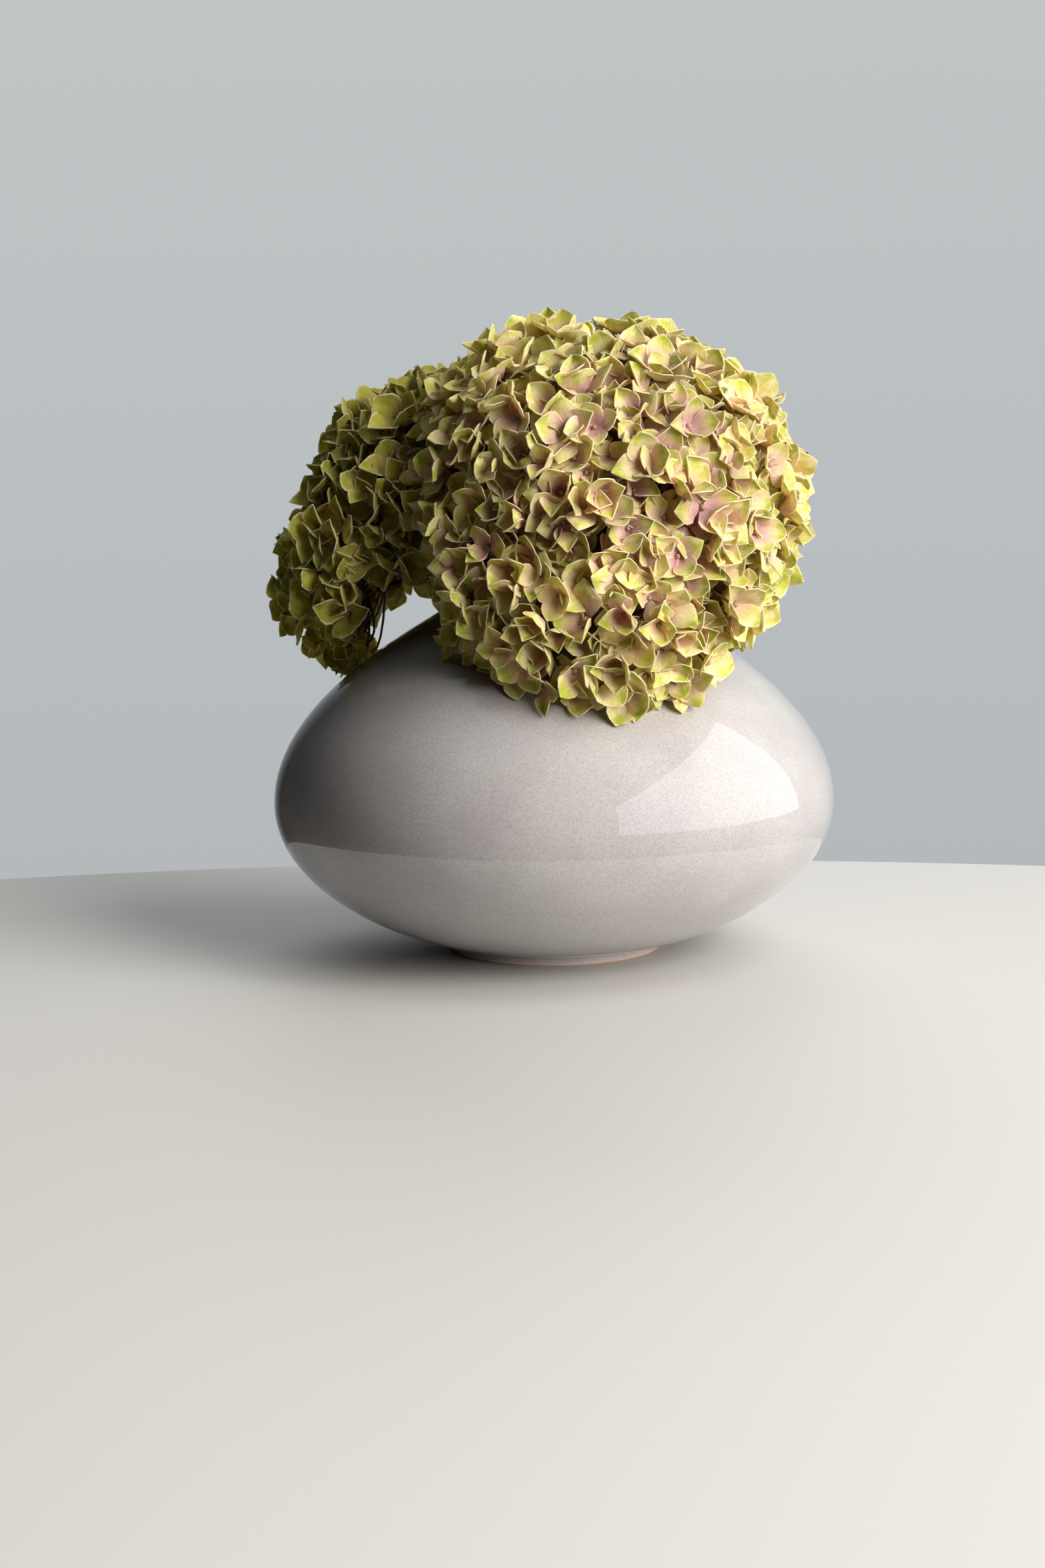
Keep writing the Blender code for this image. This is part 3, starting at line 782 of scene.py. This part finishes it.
def make_clusters(head, florets, places):
    """The head's florets, one piece for each of the frame's clusters. Returns each piece's floret bases."""
    nodes = cluster_names(head)
    middles = [middle_of(n) for n in nodes]
    groups = [[] for _ in nodes]
    for place in places:
        base = place[1].translation
        nearest = min(range(len(nodes)), key=lambda k: (base - middles[k]).length)
        groups[nearest].append(place)
    for k, group in enumerate(groups):
        if not group:
            donor = min((g for g in groups if len(g) > 1),
                        key=lambda g: min((p[1].translation - middles[k]).length for p in g))
            closest = min(donor, key=lambda p: (p[1].translation - middles[k]).length)
            donor.remove(closest)
            group.append(closest)
    for k, (node, group) in enumerate(zip(nodes, groups), 1):
        copies = []
        for number, matrix, _ in group:
            copy = copy_at(florets[number], matrix)
            mark(copy, "tint", head_shares(head, matrix))
            copies.append(copy)
        piece = join(copies, f"{head.name}_cluster_{k:02d}")
        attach(piece, BODY)
        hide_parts(node)
    return groups


# Branches and pedicels


def stem_top(head):
    """The middle of the stem's top end."""
    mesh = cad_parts[f"{head.name}_stem"].data
    points = sorted((v.co.copy() for v in mesh.vertices), key=lambda p: -p.z)
    return sum(points[:STEM_SIDES], Vector()) / STEM_SIDES


def curved(start, bend, end):
    """Points on a soft curve from start to end that leans towards bend."""
    points = []
    for i in range(ROUTE_POINTS):
        t = i / (ROUTE_POINTS - 1)
        points.append(start * (1 - t) ** 2 + bend * 2 * t * (1 - t) + end * t * t)
    return points


def grown_tubes(name, routes, finish):
    """Tapering round tubes along the routes, each (points, radius at start, radius at end)."""
    deselect_all()
    bpy.ops.curve.primitive_bezier_curve_add()
    drawn = new_piece(name, finish)
    curve = drawn.data
    curve.splines.clear()
    curve.bevel_depth = 1.0
    curve.bevel_resolution = 1
    curve.use_fill_caps = True
    for points, first, last in routes:
        spline = curve.splines.new("POLY")
        spline.points.add(len(points) - 1)
        for i, point in enumerate(points):
            spline.points[i].co = (*point, 1)
            spline.points[i].radius = first + (last - first) * i / (len(points) - 1)
        spline.use_smooth = True
    drawn.location = (0, 0, 0)
    pick(drawn)
    bpy.ops.object.convert(target="MESH")
    piece = bpy.context.object
    bpy.ops.object.mode_set(mode="EDIT")
    bpy.ops.mesh.select_all(action="SELECT")
    bpy.ops.mesh.remove_doubles(threshold=WELD)
    bpy.ops.mesh.normals_make_consistent(inside=False)
    bpy.ops.object.mode_set(mode="OBJECT")
    bpy.ops.object.shade_smooth_by_angle(angle=BRANCH_CREASE)
    settle(piece)
    return piece


def make_branches(head, groups, finish):
    """The stem's branching top, down to one pedicel under each floret."""
    hub = stem_top(head)
    routes = []
    clusters = []
    for group in groups:
        base = sum((m.translation for _, m, _ in group), Vector()) / len(group)
        outward = (base - head.centre).normalized()
        clusters.append((base - outward * CLUSTER_DEPTH, group))
    for first in range(MAIN_FORKS):
        near = clusters[first::MAIN_FORKS]
        middle = sum((c for c, _ in near), Vector()) / len(near)
        fork = hub.lerp(middle, MAIN_FORK_SHARE)
        routes.append((curved(hub, hub.lerp(fork, 0.5), fork), BRANCH_RADIUS * BRANCH_SWELL, BRANCH_RADIUS))
    for cluster, group in clusters:
        fork = hub.lerp(cluster, SIDE_FORK_SHARE)
        bend = fork.lerp(cluster, 0.5) - (cluster - head.centre).normalized() * TWIG_SAG
        routes.append((curved(hub, hub.lerp(fork, 0.5), fork), BRANCH_RADIUS, TWIG_RADIUS * TWIG_SWELL))
        routes.append((curved(fork, bend, cluster), TWIG_RADIUS * TWIG_SWELL, TWIG_RADIUS * TWIG_TAPER))
        for _, matrix, facing in group:
            end = matrix.translation
            bend = end - facing * PEDICEL_RUN
            routes.append((curved(cluster, bend, end), PEDICEL_RADIUS * PEDICEL_SWELL, PEDICEL_RADIUS))
    piece = grown_tubes(f"{head.name}_flower_branches", routes, finish)
    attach(piece, BODY)
    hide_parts(f"{head.name}_branches")


# The scene

glaze = stoneware_glaze()
vase = turn_vase(glaze)
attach(vase, BODY)
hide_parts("vase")

bead_finish = green_bead()
bark = living_wood("young_bark", "#4A2A1C", "#7A4B34", "#8C7A48", 0.0012)
pedicel_skin = living_wood("pedicel_skin", "#5E3324", "#8B5A45", "#9A8A55", 0.0010)
for head in HEADS:
    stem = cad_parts[f"{head.name}_stem"]
    stem.data.materials.clear()
    stem.data.materials.append(bark)

# Body, pale, tip and throat colours of each head's sepals. The left head's are greener, its own colour, and
# also darker all over as painted shade, since it sits in the right head's shade
SEPAL_COLOURS_AND_PAINTED_SHADE = {
    "right": ("#E9E07C", "#F8EEC6", "#BDC63A", "#DDB0B2"),
    "left": ("#CCC44C", "#DCD272", "#A0AA30", "#C29C84"),
}
bead = model_bead(bead_finish)
for head in HEADS:
    finish = papery_sepal(f"papery_sepal_{head.name}", *SEPAL_COLOURS_AND_PAINTED_SHADE[head.name])
    sepals = [model_sepal(kind, finish) for kind in SEPAL_KINDS]
    florets = [model_floret(kind, sepals, bead, head.rng) for kind in FLORET_KINDS]
    groups = make_clusters(head, florets, floret_places(head, florets))
    make_branches(head, groups, pedicel_skin)
    for used in sepals + florets:
        bpy.data.objects.remove(used)
bpy.data.objects.remove(bead)


# Floor, light and camera


def disc(name, radius, place, finish):
    deselect_all()
    bpy.ops.mesh.primitive_circle_add(vertices=FLOOR_SIDES, radius=radius, fill_type="NGON", location=place)
    made = new_piece(name, finish)
    settle(made)
    return made


floor = disc("floor", FLOOR_RADIUS, (0, FLOOR_BACK - FLOOR_RADIUS, -FLOOR_DROP),
             painted_floor("painted_floor", "#BDBAB5"))
floor.visible_glossy = False
floor.visible_diffuse = False
floor.visible_shadow = False
near_floor = disc("near_floor", NEAR_FLOOR_RADIUS, (0, 0, -NEAR_FLOOR_DROP),
                  painted_floor("painted_near_floor", "#C6C4C0"))
near_floor.visible_camera = False

WARM_WHITE = "#FFFDF9"
DAYLIGHT = "#F6F9FF"

# The window is a wide upright sheet of daylight that gives the glaze its broad highlight
bpy.ops.object.light_add(type="AREA", location=(1.3, -1.14, 0.72), rotation=(0, math.radians(90), 0))
window = bpy.context.object
window.name = "window"
window.data.shape = "RECTANGLE"
window.data.size = 1.45
window.data.size_y = 3.35
window.data.energy = 27
window.data.color = colour(DAYLIGHT)[:3]
window.visible_diffuse = False


def soft_light(name, place, aim_height, size, energy, tint):
    """A round soft light aimed at a height above the vase's foot, left out of the glaze's reflections."""
    bpy.ops.object.light_add(type="AREA", location=place)
    light = bpy.context.object
    light.name = name
    light.data.shape = "DISK"
    light.data.size = size
    light.data.energy = energy
    light.data.color = colour(tint)[:3]
    light.rotation_euler = (Vector((0, 0, aim_height)) - light.location).to_track_quat("-Z", "Y").to_euler()
    light.visible_glossy = False


soft_light("overhead", (1.0, -0.35, 1.40), 0.15, 1.1, 14, WARM_WHITE)
soft_light("key", (1.40, -1.28, 0.80), 0.13, 1.5, 81, WARM_WHITE)
soft_light("behind", (0.05, 1.65, 1.00), 0.13, 1.4, 18, DAYLIGHT)

world = bpy.data.worlds.new("room")
bpy.context.scene.world = world
world.use_nodes = True
room = world.node_tree
room.nodes.clear()
room_out = add_node(room, "ShaderNodeOutputWorld")
looking = add_node(room, "ShaderNodeTexCoord").outputs["Generated"]
ways = add_node(room, "ShaderNodeSeparateXYZ", {0: looking})
behind = add_node(room, "ShaderNodeMath", {0: ways.outputs["Y"], 1: 0.8}, operation="MULTIPLY")
side = add_node(room, "ShaderNodeMath", {0: ways.outputs["X"], 1: 0.6, 2: behind.outputs[0]},
                operation="MULTIPLY_ADD")
depth = add_node(room, "ShaderNodeMapRange", {0: side.outputs[0], 1: 0.42, 2: 0.85})
ceiling = add_node(room, "ShaderNodeMapRange", {0: ways.outputs["Z"], 1: 0.74, 2: 0.94})
lit = add_node(room, "ShaderNodeMath", {0: depth.outputs[0], 1: ceiling.outputs[0]}, operation="MAXIMUM")
room_tone = add_node(room, "ShaderNodeValToRGB", {0: lit.outputs[0]},
                     stops=((0.0, colour("#171615")), (1.0, colour("#B9C0C4"))))
around = add_node(room, "ShaderNodeBackground", {"Color": room_tone.outputs[0], "Strength": 1.0})
rise = add_node(room, "ShaderNodeMapRange", {0: ways.outputs["Z"], 1: -0.22, 2: 0.10})
wall_tone = add_node(room, "ShaderNodeValToRGB", {0: rise.outputs[0]},
                     stops=((0.0, colour("#B3B7BA")), (1.0, colour("#C0C5C6"))))
seen = add_node(room, "ShaderNodeBackground", {"Color": wall_tone.outputs[0], "Strength": 1.0})
is_seen = add_node(room, "ShaderNodeLightPath").outputs["Is Camera Ray"]
room_mix = add_node(room, "ShaderNodeMixShader", {0: is_seen, 1: around.outputs[0], 2: seen.outputs[0]})
room.links.new(room_mix.outputs[0], room_out.inputs[0])

camera_data = bpy.data.cameras.new("camera")
camera_data.lens = LENS
camera_data.sensor_width = SENSOR_WIDTH
camera = bpy.data.objects.new("camera", camera_data)
bpy.context.collection.objects.link(camera)
camera.matrix_world = (
    Matrix.Translation(CAMERA_PLACE)
    @ Matrix.Rotation(CAMERA_PITCH, 4, "X")
    @ Matrix.Rotation(CAMERA_ROLL, 4, "Z")
)
bpy.context.scene.camera = camera
bpy.context.scene.view_settings.view_transform = "Standard"
